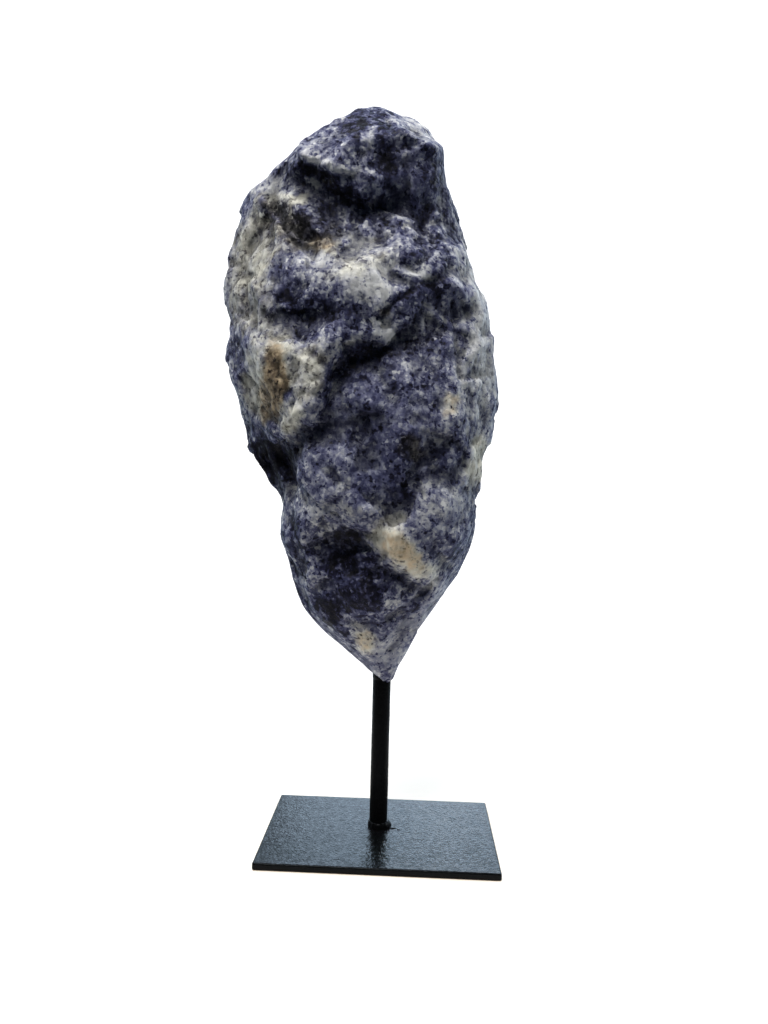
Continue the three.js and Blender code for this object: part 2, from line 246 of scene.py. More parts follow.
# Patches are bent by a slow and a fine noise, more so on the sides, and end behind a wandering border.
PATCH_WARP = 2.6
WARP_SEED = 2
WARP_SLOW = 9.0
WARP_FINE = 3.5
WARP_FINE_SHARE = 0.5
SIDE_WARP = 2.2
SIDE_DEPTH = (-12.0, 18.0)
PATCH_DEPTH = (27.0, 5.0)
PATCH_WANDER = 14.0
WANDER_SHIFT = 400.0
FRONT_DEPTH = (28.0, 6.0)

# Slow noises on the back: their size, shifts that set them apart, and how paleness, warmth, rust and
# calm follow them.
BACK_PATCH_SIZE = 36.0
BACK_SHIFTS = (0.0, 100.0, 200.0, 300.0)
BACK_PALENESS = 0.6
BACK_WARMTH = (0.0, 0.5)
BACK_RUST = (0.25, 0.6)
BACK_CALM = (0.1, 0.6)
BACK_CALM_MOST = 0.6

# The hollow mask, which paints shade into crevices and light onto edges: its value on level ground,
# then steps of averaging and how much each depth below the averaged surface counts, per millimetre.
LEVEL_GROUND = 0.5
HOLLOW_STEPS = {5: 0.7, 60: 0.22}

# Colours from dark to pale, linear: a place on the ramp and its colour.
COOL_RAMP = [
    (0.0, (0.0025, 0.0023, 0.007)),
    (0.2, (0.01, 0.01, 0.027)),
    (0.38, (0.033, 0.0355, 0.082)),
    (0.54, (0.08, 0.084, 0.148)),
    (0.72, (0.2, 0.207, 0.268)),
    (0.88, (0.38, 0.382, 0.41)),
    (1.0, (0.58, 0.578, 0.575)),
]
WARM_RAMP = [
    (0.0, (0.005, 0.0045, 0.0045)),
    (0.2, (0.023, 0.0205, 0.018)),
    (0.4, (0.082, 0.074, 0.06)),
    (0.6, (0.18, 0.166, 0.132)),
    (0.8, (0.36, 0.343, 0.28)),
    (1.0, (0.62, 0.6, 0.51)),
]
RUST_TINT = (0.88, 0.7, 0.52)

# Stone grains, mottles and specks, with sizes and depths in millimetres. Four numbers in a row are a
# rise: the low and the high end of a value, then the result at each end.
CRYSTAL_SIZE = 2.6
GRAIN_SIZE = 1.4
SUGAR_SIZE = 0.75
MOTTLES = [
    {"size": 9.0, "twist": 0.3, "amount": 1.15},
    {"size": 3.8, "twist": 0.2, "amount": 1.2},
]
STREAK_SIZE = 2.6
STREAK_TURN = -28
STREAK_STRETCH = 3.5
STREAK_AMOUNT = 0.6
CRYSTAL_AMOUNT = 0.26
GRAIN_AMOUNT = 0.26
SUGAR_AMOUNT = 0.1
PALE_GRAINS = (0.88, 0.98, 0.0, 0.26)
DARK_GRAINS = (0.86, 0.96, 0.0, 0.2)
# Pale sugar specks are partly pale grains of the stone, partly painted glints.
SUGAR_SPECKS_AND_GLINTS = (0.92, 0.98, 0.0, 0.2)
SPECK_SIZE = 2.1
SPECKS = (0.58, 0.66, 0.0, 0.34)
PALENESS_LOW = (0.02, 0.1)
PALENESS_HIGH = (1.0, 0.4)
WARM_SIZE = 5.0
WARM_AMOUNT = 1.2
WARM_SHARE = (0.28, 0.95, 0.0, 0.85)
STAIN_SIZE = 3.0
STAIN_AMOUNT = 1.0
STAIN_SHARE = (0.15, 0.9, 0.0, 1.0)
# Painted shade and light: the colour is scaled from 1.3 on edges down to 0.55 in crevices, from the
# hollow mask.
HOLLOW_SHADE = (0.2, 0.8, 1.3, 0.55)
STONE_ROUGHNESS = (0.0, 1.0, 0.45, 0.85)
STONE_GLOSS = 0.15
GRAIN_TILT = 0.3
SUGAR_TILT = 0.16
STONE_SKIN_SIZE = 1.1
STONE_SKIN_DEPTH = 0.2

# Black paint: colours, sizes in millimetres, and what differs between the sheet and the bar.
BLACK_PAINT = (0.0025, 0.0026, 0.003)
PAINT_DUST = (0.03, 0.033, 0.038)
PAINT_TINT = (0.86, 0.94, 1.0)
DUST_SIZE = 3.0
DUST_EDGE = (0.55, 0.8)
SHEEN_SIZE = 6.0
SHEEN_EDGE = (0.3, 0.7)
HAMMER_SIZE = 0.9
WAVE_SIZE = 9.0
WAVE_DEPTH = 0.2
FLAKE_SIZE = 1.1
SHEET_PAINT = {"gloss": 0.07, "rough": (0.08, 0.16), "dust": 0.15, "hammered": 0.15, "flakes": 0.09}
BAR_PAINT = {"gloss": 0.04, "rough": (0.3, 0.45), "dust": 0.1, "hammered": 0.2, "flakes": 0.05}

# Glue: its two tones and its gloss, with sizes and depths in millimetres.
GLUE_TONES = ((0.002, 0.002, 0.002), (0.006, 0.006, 0.005))
GLUE_TONE_SIZE = 1.5
GLUE_SHEEN_SIZE = 2.0
GLUE_ROUGHNESS = (0.3, 0.7, 0.3, 0.6)
GLUE_GLOSS = 0.08
GLUE_SKIN_SIZE = 0.9
GLUE_SKIN_DEPTH = 0.3

# Floor: its radius and where it starts to fade in metres, its two tones and a faint warm glow.
FLOOR_RADIUS = 0.24
FLOOR_FADE = 0.06
FLOOR_SIDES = 96
FLOOR_TONES = ((0.95, 0.91, 0.87), (0.97, 0.93, 0.89))
FLOOR_TONE_SIZE = 40.0
FLOOR_ROUGHNESS = 0.8
FLOOR_GLOW = (1.0, 0.8, 0.55)
FLOOR_GLOW_STRENGTH = 0.32

# Lights: place, aim and size in metres, power in watts and colour.
STONE_MIDDLE = (-0.01, 0.0, 0.19)
WARM_WHITE = (1.0, 0.99, 0.97)
COOL_WHITE = (0.95, 0.98, 1.0)
SKY_BLUE = (0.61, 0.79, 1.0)
LIGHTS = {
    "top": ((-0.15, -0.35, 1.0), STONE_MIDDLE, 0.5, 10, WARM_WHITE),
    "left": ((-0.9, 0.1, 0.5), STONE_MIDDLE, 0.6, 2.2, WARM_WHITE),
    "right": ((0.9, 0.2, 0.6), STONE_MIDDLE, 0.6, 4, COOL_WHITE),
    "glint": ((0.08, 0.86, 0.38), (0.03, 0.0, 0.0), 0.05, 0.14, COOL_WHITE),
    "back": ((0.06, 1.0, 0.45), (0.01, 0.0, 0.0), 0.55, 4.2, SKY_BLUE),
}

# Surroundings: strengths from the front to the back along y, and the tint of the light they give.
WORLD_DEPTH = (-0.1, 0.9)
WORLD_STRENGTH = (0.08, 1.4)
WORLD_TINT = (0.66, 0.84, 1.0)
WORLD_WHITE = (1.0, 1.0, 1.0)

# Stand pieces in millimetres: steps round the post, roundings, and the sizes and depths of lumps.
TURN_STEPS = 72
ARC_STEP = 10
POST_RADIUS = 4.0
BAR_STEP = 1.5
BAR_LUMPS = 5.0
BAR_WAVER = 0.05
BEAD_ROOT = 0.4
PLATE_CORNER = 1.0
PLATE_CORNER_STEPS = 6
PLATE_ROUNDING = 0.7
PLATE_ROUNDING_STEPS = 5
ROUND_PROFILE = 0.5
PLATE_FLAT = 50.0
PLATE_BORDER = 0.2
WELD_REACH = 1.1
WELD_LUMPS = 1.3
WELD_WAVER = 0.2
GLUE_REACH = 0.6
GLUE_LUMPS = 1.2
GLUE_WAVER = 0.1

# Waves that swell the beads round the post: how many to a turn and their size.
WELD_SWELL = {1: 0.5, 4: 0.14, 9: 0.1}
GLUE_SWELL = {1: 0.65}

# Weld spatter on the plate: x, y, half width, half depth and height.
SPATTER_CUTS = 3
SPATTER = [
    (5.2, 2.6, 1.9, 1.4, 0.4),
    (8.2, 1.0, 0.6, 0.5, 0.25),
]


def smooth_step(low, high, value):
    """0 below low, 1 above high and a smooth rise between them; low may be the larger."""
    t = np.clip((value - low) / (high - low), 0.0, 1.0)
    return t * t * (3.0 - 2.0 * t)


def link(obj):
    bpy.context.scene.collection.objects.link(obj)
    return obj


def vectors_of(items, name):
    """One vector per item of a mesh's vertices, as rows."""
    flat = np.empty(len(items) * 3, np.float32)
    items.foreach_get(name, flat)
    return flat.reshape(-1, 3).astype(float)


# Stone shape

def fine_stone():
    """The stone's solid with every triangle cut into small ones."""
    solid = bmesh.new()
    solid.from_mesh(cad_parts["stone"].data)
    bmesh.ops.remove_doubles(solid, verts=solid.verts, dist=MERGE_DISTANCE * MM)
    bmesh.ops.triangulate(solid, faces=solid.faces)
    bmesh.ops.subdivide_edges(solid, edges=solid.edges, cuts=STONE_CUTS, use_grid_fill=True)
    bmesh.ops.triangulate(solid, faces=solid.faces)
    fine = bpy.data.meshes.new("stone_surface")
    solid.to_mesh(fine)
    solid.free()
    return fine


class Neighbours:
    """Averages of values over the points next to each point of a mesh."""

    def __init__(self, mesh):
        pairs = np.empty(len(mesh.edges) * 2, np.int32)
        mesh.edges.foreach_get("vertices", pairs)
        self.one, self.two = pairs.reshape(-1, 2).T
        self.count = len(mesh.vertices)
        self.degree = np.bincount(pairs, minlength=self.count)

    def total(self, values):
        forth = np.bincount(self.one, values[self.two], self.count)
        back = np.bincount(self.two, values[self.one], self.count)
        return forth + back

    def average(self, points):
        totals = [self.total(values) for values in points.T]
        return np.stack(totals, axis=1) / self.degree[:, None]


def broken_faces(points, normals, keep, rng, count, tilt, edge, pull):
    """Draws points onto the tilted planes of their nearest faces, which are picked at random."""
    picks = rng.choice(len(points), count, replace=False)
    tree = kdtree.KDTree(count)
    for i, pick in enumerate(picks):
        tree.insert(points[pick], i)
    tree.balance()
    nearest = np.array([[(i, d) for _, i, d in tree.find_n(p, 2)] for p in points])
    faces = nearest[:, :, 0].astype(int)
    away = nearest[:, :, 1]
    ways = normals[picks] + tilt * rng.uniform(-1, 1, (count, 3))
    ways /= np.linalg.norm(ways, axis=1)[:, None]
    lifts = np.einsum("nkd,nkd->nk", points[picks][faces] - points[:, None], ways[faces])
    share = np.clip(0.5 + (away[:, 1] - away[:, 0]) / (2 * edge), 0, 1)
    lift = share * lifts[:, 0] + (1 - share) * lifts[:, 1]
    return points + normals * (keep * pull * np.tanh(lift / pull))[:, None]


def noise_of(points, size, octaves=NOISE_OCTAVES, shift=0.0):
    """A slow noise about 0 with features of a size in millimetres."""
    move = Vector((shift, 0, 0))
    places = (Vector(p) / size + move for p in points)
    return np.array([noise.fractal(place, NOISE_FALL, NOISE_STEP, octaves) for place in places])


def front_view(points):
    """Where the lines from the camera through the points meet the front plane, as x and z."""
    eye = np.array(CAMERA_PLACE)
    reach = (FRONT_PLANE - eye[1]) / (points[:, 1] - eye[1])
    return (eye + (points - eye) * reach[:, None])[:, [0, 2]]


def beside(seen, line):
    """How far points of the front plane are from a line, on which side, and how far past its ends."""
    nearest = np.full(len(seen), np.inf)
    side = np.ones(len(seen))
    for one, two in zip(line, line[1:]):
        way = np.subtract(two, one)
        away = seen - one
        share = np.clip(away @ way / (way @ way), 0, 1)
        distance = np.linalg.norm(away - share[:, None] * way, axis=1)
        closer = distance < nearest
        nearest = np.where(closer, distance, nearest)
        side = np.where(closer, np.sign(way[0] * away[:, 1] - way[1] * away[:, 0]), side)
    first = np.subtract(line[0], line[1])
    last = np.subtract(line[-1], line[-2])
    before = (seen - line[0]) @ first / np.linalg.norm(first)
    after = (seen - line[-1]) @ last / np.linalg.norm(last)
    return nearest, side, np.maximum(np.maximum(before, after), 0)


def front_relief(points):
    """How far the fine ledges and the grooves lift the points of the stone's front."""
    seen = front_view(points)
    lift = np.zeros(len(points))
    for ledge in LEDGES:
        away, side, past = beside(seen, ledge["line"])
        shape = (1 - np.exp(-away / LEDGE_EDGE)) * np.exp(-away / ledge["fade"] - past / LINE_END)
        lift += np.where(side > 0, ledge["proud"], -ledge["drop"]) * shape
    for groove in GROOVES:
        away, _, past = beside(seen, groove["line"])
        lift -= groove["depth"] * smooth_step(2 * groove["wide"], 0, away) * np.exp(-past / LINE_END)
    return lift * smooth_step(*FRONT_DEPTH, points[:, 1])


def stone_points(mesh, neighbours):
    """The stone's finished points in millimetres."""
    rng = np.random.default_rng(STONE_SEED)
    points = vectors_of(mesh.vertices, "co") / MM
    normals = vectors_of(mesh.vertices, "normal")
    from_post = np.hypot(points[:, 0] - POST_AXIS[0], points[:, 1] - POST_AXIS[1])
    room = smooth_step(*POST_ROOM, from_post)
    keep = np.where(points[:, 2] < POST_ROOM_TOP, room, 1.0)
    for _ in range(STONE_EASING):
        points += (neighbours.average(points) - points) * keep[:, None] / 2
    rises = smooth_step(*ROUGH_EDGE, noise_of(points, ROUGH_SIZE, ROUGH_OCTAVES))
    rough = ROUGH_LEAST + (1 - ROUGH_LEAST) * rises
    rough *= TIP_ROUGH + (1 - TIP_ROUGH) * smooth_step(*TIP_HEIGHTS, points[:, 2])
    for size in STONE_FACES:
        points = broken_faces(points, normals, keep * rough, rng, **size)
    pits = -PIT_DEPTH * smooth_step(*PIT_EDGE, noise_of(points, PIT_SIZE))
    return points + normals * (keep * (pits + front_relief(points)))[:, None]


# Stone colour masks

def bent_view(points):
    """Where the points are seen from the front, moved a little by a slow and a fine noise."""
    noise.seed_set(WARP_SEED)
    slow = np.array([noise.noise_vector(Vector(p) / WARP_SLOW) for p in points])
    fine = np.array([noise.noise_vector(Vector(p) / WARP_FINE) for p in points])
    warp = PATCH_WARP * (1 + SIDE_WARP * smooth_step(*SIDE_DEPTH, points[:, 1]))
    return front_view(points + (slow + WARP_FINE_SHARE * fine) * warp[:, None])


def patched(seen):
    """What the patches add up to at places on the front plane."""
    painted = np.zeros((len(seen), 4))
    for kind, x, z, wide, high, turn, strength in PATCHES:
        angle = math.radians(turn)
        across, up = (seen - (x, z)).T
        u = (across * math.cos(angle) + up * math.sin(angle)) / wide
        v = (up * math.cos(angle) - across * math.sin(angle)) / high
        amount = strength * smooth_step(*PATCH_EDGE, np.hypot(u, v))
        paleness, *tints = KINDS[kind]
        painted[:, 0] += paleness * amount
        painted[:, 1:] += (tints - painted[:, 1:]) * np.clip(amount, 0, 1)[:, None]
    return painted


def minerals(points):
    """Paleness, warmth, rust and calm at every point: patches on the front, slow noises behind."""
    wander = PATCH_WANDER * noise_of(points, PATCH_WANDER, shift=WANDER_SHIFT)
    front = smooth_step(*PATCH_DEPTH, points[:, 1] + wander)[:, None]
    pale, warm, rust, calm = (noise_of(points, BACK_PATCH_SIZE, shift=shift) for shift in BACK_SHIFTS)
    behind = np.stack([
        BACK_PALENESS * pale,
        smooth_step(*BACK_WARMTH, warm),
        smooth_step(*BACK_RUST, rust),
        BACK_CALM_MOST * smooth_step(*BACK_CALM, calm),
    ], axis=1)
    mineral = front * patched(bent_view(points)) + (1 - front) * behind
    mineral[:, 0] += PLAIN_PALENESS
    return mineral


def hollow_mask(mesh, neighbours, points):
    """A mask for painted shade in crevices and painted light on edges: more than level ground in
    crevices and less on edges, from how points lie to those around.
    """
    normals = vectors_of(mesh.vertices, "normal")
    around = points
    hollow = np.full(len(points), LEVEL_GROUND)
    for step in range(1, max(HOLLOW_STEPS) + 1):
        around = neighbours.average(around)
        if step in HOLLOW_STEPS:
            hollow += HOLLOW_STEPS[step] * np.einsum("ij,ij->i", around - points, normals)
    return np.clip(hollow, 0, 1)


def make_stone():
    """The stone's fine surface with its colour masks, in place of the solid."""
    mesh = fine_stone()
    neighbours = Neighbours(mesh)
    points = stone_points(mesh, neighbours)
    mesh.vertices.foreach_set("co", (points * MM).astype(np.float32).ravel())
    mesh.update()
    layer = mesh.attributes.new("mineral", "FLOAT_COLOR", "POINT")
    layer.data.foreach_set("color", minerals(points).astype(np.float32).ravel())
    layer = mesh.attributes.new("hollow", "FLOAT", "POINT")
    layer.data.foreach_set("value", hollow_mask(mesh, neighbours, points).astype(np.float32))
    mesh.shade_smooth()
    stone = link(bpy.data.objects.new("stone_surface", mesh))
    mesh.materials.append(sodalite())
    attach(stone, "root")
    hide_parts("stone")


# Materials

class Nodes:
    """Short ways to add and join the nodes of one material."""

    def __init__(self, name):
        self.material = bpy.data.materials.new(name)
        self.material.use_nodes = True
        self.tree = self.material.node_tree
        self.shader = self.tree.nodes["Principled BSDF"]
        self.place = self.add("ShaderNodeTexCoord").outputs["Object"]

    def add(self, kind, **settings):
        node = self.tree.nodes.new(kind)
        for name, value in settings.items():
            setattr(node, name, value)
        return node

    def join(self, value, socket):
        if isinstance(value, bpy.types.NodeSocket):
            self.tree.links.new(value, socket)
        else:
            socket.default_value = value

    def noise(self, size, detail=4.0, rough=0.55, place=None, twist=0.0):
        """A noise from 0 to 1 with features of a size in millimetres."""
        node = self.add("ShaderNodeTexNoise")
        self.join(place or self.place, node.inputs["Vector"])
        node.inputs["Scale"].default_value = 1 / (size * MM)
        node.inputs["Detail"].default_value = detail
        node.inputs["Roughness"].default_value = rough
        node.inputs["Distortion"].default_value = twist
        return node.outputs["Fac"]

    def stretched(self, turn, stretch):
        """Places drawn out along a line that is turned by degrees in the front plane."""
        node = self.add("ShaderNodeMapping")
        self.join(self.place, node.inputs["Vector"])
        node.inputs["Rotation"].default_value = (0, math.radians(turn), 0)
        node.inputs["Scale"].default_value = (1, 1, 1 / stretch)
        return node.outputs["Vector"]

    def cells(self, size):
        """Voronoi grains of a size in millimetres."""
        node = self.add("ShaderNodeTexVoronoi")
        self.join(self.place, node.inputs["Vector"])
        node.inputs["Scale"].default_value = 1 / (size * MM)
        return node

    def split(self, value):
        """The three parts of a vector or a colour."""
        node = self.add("ShaderNodeSeparateXYZ")
        self.join(value, node.inputs[0])
        return node.outputs

    def ramp(self, value, stops):
        """Colours along a value from 0 to 1."""
        node = self.add("ShaderNodeValToRGB")
        self.join(value, node.inputs["Fac"])
        marks = node.color_ramp.elements
        for place, _ in stops[1:-1]:
            marks.new(place)
        for mark, (place, colour) in zip(marks, stops):
            mark.position = place
            mark.color = (*colour, 1.0)
        return node.outputs["Color"]

    def swing(self, value, amount, base):
        """A base with a noise about 0.5 added to it, times an amount."""
        node = self.add("ShaderNodeMath", operation="MULTIPLY_ADD")
        self.join(self.math("SUBTRACT", value, 0.5), node.inputs[0])
        node.inputs[1].default_value = amount
        self.join(base, node.inputs[2])
        return node.outputs[0]

    def rise(self, value, low, high, start=0.0, end=1.0):
        """A smooth rise from start to end as a value goes from low to high."""
        node = self.add("ShaderNodeMapRange", interpolation_type="SMOOTHSTEP")
        self.join(value, node.inputs["Value"])
        node.inputs["From Min"].default_value = low
        node.inputs["From Max"].default_value = high
        node.inputs["To Min"].default_value = start
        node.inputs["To Max"].default_value = end
        return node.outputs["Result"]

    def hold(self, value, low, low_soft, high, high_soft):
        """A value kept between two limits, which it nears softly."""
        limits = (("SMOOTH_MAX", low, low_soft), ("SMOOTH_MIN", high, high_soft))
        for operation, limit, soft in limits:
            node = self.add("ShaderNodeMath", operation=operation)
            self.join(value, node.inputs[0])
            node.inputs[1].default_value = limit
            node.inputs[2].default_value = soft
            value = node.outputs[0]
        return value

    def math(self, operation, one, two=0.5):
        node = self.add("ShaderNodeMath", operation=operation)
        self.join(one, node.inputs[0])
        self.join(two, node.inputs[1])
        return node.outputs[0]

    def mix(self, share, one, two, blend="MIX"):
        node = self.add("ShaderNodeMix", data_type="RGBA", blend_type=blend)
        self.join(share, node.inputs["Factor"])
        for value, socket in ((one, node.inputs["A"]), (two, node.inputs["B"])):
            self.join((*value, 1.0) if isinstance(value, tuple) else value, socket)
        return node.outputs["Result"]

    def tilted(self, cells, steepness):
        """A height whose slope differs from grain to grain, as small cleavage faces."""
        lean = self.add("ShaderNodeVectorMath", operation="SUBTRACT")
        self.join(cells.outputs["Color"], lean.inputs[0])
        lean.inputs[1].default_value = (0.5, 0.5, 0.5)
        away = self.add("ShaderNodeVectorMath", operation="SUBTRACT")
        self.join(self.place, away.inputs[0])
        self.join(cells.outputs["Position"], away.inputs[1])
        height = self.add("ShaderNodeVectorMath", operation="DOT_PRODUCT")
        self.join(lean.outputs[0], height.inputs[0])
        self.join(away.outputs[0], height.inputs[1])
        return self.math("MULTIPLY", height.outputs["Value"], steepness)

    def bump(self, height, distance, under=None):
        node = self.add("ShaderNodeBump")
        node.inputs["Distance"].default_value = distance
        self.join(height, node.inputs["Height"])
        if under is not None:
            self.join(under, node.inputs["Normal"])
        return node.outputs["Normal"]


def sodalite():
    """Blue to grey to cream mottles with rusty stains, dark specks, pale specks that are partly
    painted glints, small cleavage faces, and painted shade in crevices with painted light on edges.
    """
    n = Nodes("sodalite")
    crystal = n.cells(CRYSTAL_SIZE)
    grain = n.cells(GRAIN_SIZE)
    sugar = n.cells(SUGAR_SIZE)
    mineral = n.add("ShaderNodeAttribute", attribute_name="mineral").outputs
    base, warmth, rust = n.split(mineral["Color"])
    crystal_tone = n.split(crystal.outputs["Color"])
    grain_tone = n.split(grain.outputs["Color"])
    sugar_tone = n.split(sugar.outputs["Color"])

    mottle = 0.0
    for layer in MOTTLES:
        mottle = n.swing(n.noise(layer["size"], twist=layer["twist"]), layer["amount"], mottle)
    streaks = n.noise(STREAK_SIZE, detail=3.0, place=n.stretched(STREAK_TURN, STREAK_STRETCH))
    mottle = n.swing(streaks, STREAK_AMOUNT, mottle)
    mottle = n.swing(crystal_tone[0], CRYSTAL_AMOUNT, mottle)
    mottle = n.swing(grain_tone[0], GRAIN_AMOUNT, mottle)
    mottle = n.swing(sugar_tone[2], SUGAR_AMOUNT, mottle)
    mottle = n.math("ADD", mottle, n.rise(grain_tone[1], *PALE_GRAINS))
    mottle = n.math("SUBTRACT", mottle, n.rise(grain_tone[2], *DARK_GRAINS))
    # Pale sugar specks: partly pale grains, partly painted glints.
    mottle = n.math("ADD", mottle, n.rise(sugar_tone[0], *SUGAR_SPECKS_AND_GLINTS))
    mottle = n.math("MULTIPLY", mottle, n.math("SUBTRACT", 1.0, mineral["Alpha"]))
    specks = n.rise(n.noise(SPECK_SIZE, detail=2.0), *SPECKS)
    paleness = n.math("SUBTRACT", n.math("ADD", base, mottle), specks)
    paleness = n.hold(paleness, *PALENESS_LOW, *PALENESS_HIGH)

    warm = n.swing(n.noise(WARM_SIZE), WARM_AMOUNT, warmth)
    warm_share = n.rise(warm, *WARM_SHARE)
    colour = n.mix(warm_share, n.ramp(paleness, COOL_RAMP), n.ramp(paleness, WARM_RAMP))
    stain = n.swing(n.noise(STAIN_SIZE), STAIN_AMOUNT, rust)
    colour = n.mix(n.rise(stain, *STAIN_SHARE), colour, RUST_TINT, "MULTIPLY")
    # Painted shade in crevices and painted light on edges: the colour is scaled by the hollow mask.
    hollow_shaded = n.add("ShaderNodeVectorMath", operation="SCALE")
    n.join(colour, hollow_shaded.inputs[0])
    hollow = n.add("ShaderNodeAttribute", attribute_name="hollow").outputs["Fac"]
    n.join(n.rise(hollow, *HOLLOW_SHADE), hollow_shaded.inputs["Scale"])
    n.join(hollow_shaded.outputs[0], n.shader.inputs["Base Color"])

    n.join(n.rise(grain_tone[2], *STONE_ROUGHNESS), n.shader.inputs["Roughness"])
    n.shader.inputs["Specular IOR Level"].default_value = STONE_GLOSS
    facets = n.bump(n.tilted(grain, GRAIN_TILT), 1.0)
    facets = n.bump(n.tilted(sugar, SUGAR_TILT), 1.0, facets)
    facets = n.bump(n.noise(STONE_SKIN_SIZE), STONE_SKIN_DEPTH * MM, facets)
    n.join(facets, n.shader.inputs["Normal"])
    return n.material


def black_paint(name, gloss, rough, dust, hammered, flakes):
    """Black paint with a hammered skin, tilted flakes and a little dust, between two roughnesses."""
    n = Nodes(name)
    dusty = n.rise(n.noise(DUST_SIZE, detail=6.0, rough=0.7), *DUST_EDGE, 0.0, dust)
    n.join(n.mix(dusty, BLACK_PAINT, PAINT_DUST), n.shader.inputs["Base Color"])
    sheen = n.noise(SHEEN_SIZE, detail=5.0)
    n.join(n.rise(sheen, *SHEEN_EDGE, *rough), n.shader.inputs["Roughness"])
    n.shader.inputs["Specular IOR Level"].default_value = gloss
    n.shader.inputs["Specular Tint"].default_value = (*PAINT_TINT, 1.0)
    skin = n.bump(n.noise(HAMMER_SIZE, detail=2.0), hammered * MM)
    skin = n.bump(n.noise(WAVE_SIZE, detail=2.0), WAVE_DEPTH * MM, skin)
    skin = n.bump(n.tilted(n.cells(FLAKE_SIZE), flakes), 1.0, skin)
    n.join(skin, n.shader.inputs["Normal"])
    return n.material


def dark_glue():
    """Cured black glue, a little lumpy."""
    n = Nodes("dark_glue")
    n.join(n.mix(n.noise(GLUE_TONE_SIZE, detail=3.0), *GLUE_TONES), n.shader.inputs["Base Color"])
    n.join(n.rise(n.noise(GLUE_SHEEN_SIZE), *GLUE_ROUGHNESS), n.shader.inputs["Roughness"])
    n.shader.inputs["Specular IOR Level"].default_value = GLUE_GLOSS
    skin = n.bump(n.noise(GLUE_SKIN_SIZE, detail=3.0), GLUE_SKIN_DEPTH * MM)
    n.join(skin, n.shader.inputs["Normal"])
    return n.material


# Stand

def box_of(node):
    """A node's lowest and highest corners in millimetres."""
    return [np.array(corner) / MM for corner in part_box(node)]


def turned(profile):
    """A form turned round the post's axis from radii and heights in millimetres."""
    form = bmesh.new()
    x, y = POST_AXIS
    rim = [form.verts.new((x + radius, y, height)) for radius, height in profile]
    edges = [form.edges.new(pair) for pair in zip(rim, rim[1:])]
    bmesh.ops.spin(
        form, geom=rim + edges, cent=(*POST_AXIS, 0), axis=(0, 0, 1),
        angle=math.tau, steps=TURN_STEPS, use_merge=True,
    )
    bmesh.ops.remove_doubles(form, verts=form.verts, dist=MERGE_DISTANCE)
    bmesh.ops.recalc_face_normals(form, faces=form.faces)
    return form


def ring_profile(low, high, reach):
    """A bead's closed half section: its inside in the post and an arc outside."""
    middle = (low + high) / 2
    half = (high - low) / 2
    arc = [math.radians(degrees) for degrees in range(-90, 91, ARC_STEP)]
    outside = [(POST_RADIUS + reach * math.cos(a), middle + half * math.sin(a)) for a in arc]
    inside = POST_RADIUS - BEAD_ROOT
    return [(inside, low), *outside, (inside, high), (inside, low)]


def swollen(form, waves):
    """Makes a bead stand out of the post by more or less round it, in waves."""
    middle = Vector((*POST_AXIS, 0))
    for vert in form.verts:
        away = (vert.co - middle).xy
        angle = math.atan2(away.y, away.x)
        swell = sum(size * math.cos(count * angle) for count, size in waves.items())
        vert.co.xy += away.normalized() * (max(0, away.length - POST_RADIUS) * swell)


def lumpy(form, size, depth):
    """Pushes a form's points along their normals by a slow noise."""
    form.normal_update()
    for vert in form.verts:
        lift = noise.fractal(vert.co / size, NOISE_FALL, NOISE_STEP, NOISE_OCTAVES)
        vert.co += vert.normal * depth * lift


def stand_piece(form, name, node, material):
    """A smooth piece from a form in millimetres, in place of a node."""
    bmesh.ops.scale(form, vec=(MM, MM, MM), verts=form.verts)
    mesh = bpy.data.meshes.new(name)
    form.to_mesh(mesh)
    form.free()
    mesh.shade_smooth()
    mesh.materials.append(material)
    piece = link(bpy.data.objects.new(name, mesh))
    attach(piece, "root")
    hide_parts(node)


def make_plate(paint):
    """The sheet with rounded corners and soft edges, its flats bordered so that they shade flat."""
    low, high = box_of("base_plate")
    form = bmesh.new()
    place = Matrix.Translation((low + high) / 2) @ Matrix.Diagonal((*(high - low), 1))
    bmesh.ops.create_cube(form, size=1, matrix=place)
    upright = [edge for edge in form.edges if edge.verts[0].co.xy == edge.verts[1].co.xy]
    bmesh.ops.bevel(
        form, geom=upright, offset=PLATE_CORNER, segments=PLATE_CORNER_STEPS,
        profile=ROUND_PROFILE, affect="EDGES",
    )
    rims = [edge for edge in form.edges if edge.verts[0].co.z == edge.verts[1].co.z]
    bmesh.ops.bevel(
        form, geom=rims, offset=PLATE_ROUNDING, segments=PLATE_ROUNDING_STEPS,
        profile=ROUND_PROFILE, affect="EDGES",
    )
    flats = [face for face in form.faces if face.calc_area() > PLATE_FLAT]
    bmesh.ops.inset_individual(form, faces=flats, thickness=PLATE_BORDER)
    stand_piece(form, "plate_sheet", "base_plate", paint)


def make_post(paint):
    """The bar, with a skin that isn't quite even."""
    low, high = box_of("post")
    rings = [(POST_RADIUS, z) for z in np.arange(low[2], high[2], BAR_STEP)]
    form = turned([(0, low[2]), *rings, (POST_RADIUS, high[2]), (0, high[2])])
    lumpy(form, BAR_LUMPS, BAR_WAVER)
    stand_piece(form, "post_bar", "post", paint)


def make_weld(paint):
    """The weld's bead, thicker on its right, and some spatter on the plate."""
    low, high = box_of("weld_bead")
    form = turned(ring_profile(2 * low[2] - high[2], high[2], WELD_REACH))
    swollen(form, WELD_SWELL)
    lumpy(form, WELD_LUMPS, WELD_WAVER)
    for x, y, wide, deep, tall in SPATTER:
        place = Matrix.Translation((x, y, low[2])) @ Matrix.Diagonal((wide, deep, tall, 1))
        bmesh.ops.create_icosphere(form, subdivisions=SPATTER_CUTS, radius=1, matrix=place)
    stand_piece(form, "weld_lump", "weld_bead", paint)


